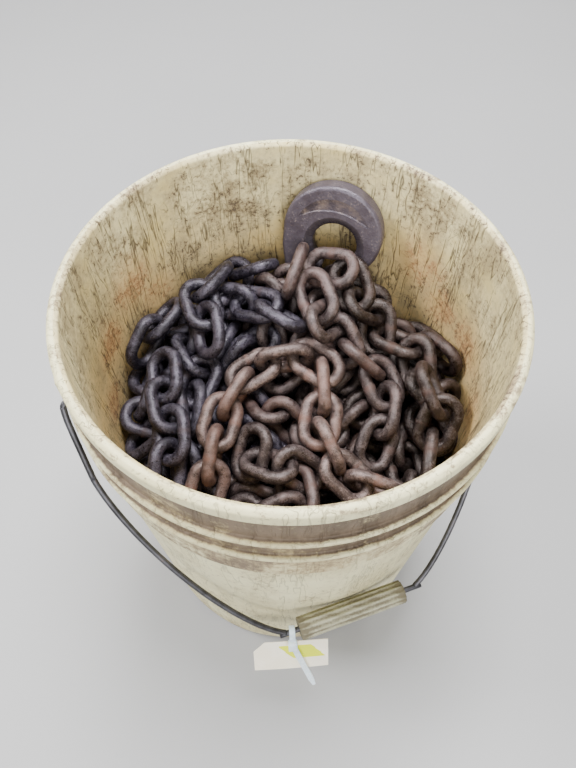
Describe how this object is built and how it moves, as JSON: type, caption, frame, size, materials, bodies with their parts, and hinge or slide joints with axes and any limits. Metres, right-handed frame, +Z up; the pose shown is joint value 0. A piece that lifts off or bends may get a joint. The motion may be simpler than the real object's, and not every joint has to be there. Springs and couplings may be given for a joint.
{
  "type": "pail of iron chain",
  "caption": "Heap of welded iron chain with a lifting hook, held in an open plastic pail with a wire bail, a ribbed grip and a tag.",
  "frame": {"origin": "middle of the pail's flat underside", "axes": "+Z up through the pail's mouth, -Y towards the front, where the bail hangs down and the viewer stands, +X to the viewer's right"},
  "size_m": [0.3121, 0.3418, 0.367],
  "materials": {
    "pail_plastic": "dirty cream plastic with scratches, grease and rust smears",
    "bail_steel": "dull dark steel wire",
    "grip_plastic": "grimy ribbed plastic",
    "tie_nylon": "pale translucent nylon",
    "tag_card": "cream coated card, bare",
    "hook_iron": "smooth forged, dark purple grey",
    "chain_iron": "blue-black scale, half gloss",
    "chain_iron_brown": "brown-grey scale with light rust",
    "chain_iron_rusty": "pinkish rust film",
    "chain_iron_dark": "dark, in shadow"
  },
  "bodies": {
    "pail": {"pail": "pail_plastic", "heap_core": "chain_iron_dark", "hook": "hook_iron", "left_wall_link_01": "chain_iron", "left_wall_link_02": "chain_iron", "left_wall_link_03": "chain_iron", "left_wall_link_04": "chain_iron", "right_link_01": "chain_iron_brown", "right_link_02": "chain_iron_brown", "right_link_03": "chain_iron_brown", "right_link_04": "chain_iron_brown", "right_link_05": "chain_iron_brown", "right_link_06": "chain_iron_brown", "right_link_07": "chain_iron_brown", "right_link_08": "chain_iron_brown", "left_link_01": "chain_iron", "left_link_02": "chain_iron", "left_link_03": "chain_iron", "left_link_04": "chain_iron", "left_link_05": "chain_iron", "left_link_06": "chain_iron", "left_link_07": "chain_iron", "front_link_01": "chain_iron", "front_link_02": "chain_iron", "front_link_03": "chain_iron", "front_link_04": "chain_iron", "front_link_05": "chain_iron", "front_link_06": "chain_iron", "back_left_link_01": "chain_iron", "back_left_link_02": "chain_iron", "back_left_link_03": "chain_iron", "back_left_link_04": "chain_iron", "back_left_link_05": "chain_iron", "back_left_link_06": "chain_iron", "hook_side_link_01": "chain_iron_brown", "hook_side_link_02": "chain_iron_brown", "hook_side_link_03": "chain_iron_brown", "hook_side_link_04": "chain_iron_brown", "hook_side_link_05": "chain_iron_brown", "hook_side_link_06": "chain_iron_brown", "hook_side_link_07": "chain_iron_brown", "hook_side_link_08": "chain_iron_brown", "hook_side_link_09": "chain_iron_brown", "top_link_01": "chain_iron_rusty", "top_link_02": "chain_iron_rusty", "top_link_03": "chain_iron_rusty", "top_link_04": "chain_iron_rusty", "top_link_05": "chain_iron_rusty", "top_link_06": "chain_iron_rusty", "top_link_07": "chain_iron_rusty", "top_link_08": "chain_iron_rusty", "top_link_09": "chain_iron_rusty", "top_link_10": "chain_iron_rusty", "top_link_11": "chain_iron_rusty", "top_link_12": "chain_iron_rusty"},
    "bail": {"bail": "bail_steel", "cable_tie": "tie_nylon", "tag": "tag_card"},
    "grip": {"grip": "grip_plastic"}
  },
  "joints": [
    {"name": "bail_swing", "type": "hinge", "parent": "pail", "child": "bail", "pos_m": [0, 0, 0.314], "axis": [-0.9426, -0.3338, 0], "range_deg": [0, 276.8]},
    {"name": "grip_spin", "type": "hinge", "parent": "bail", "child": "grip", "pos_m": [0.04959, -0.14004, 0.14635], "axis": [0.9426, 0.3338, 0], "continuous": true}
  ]
}
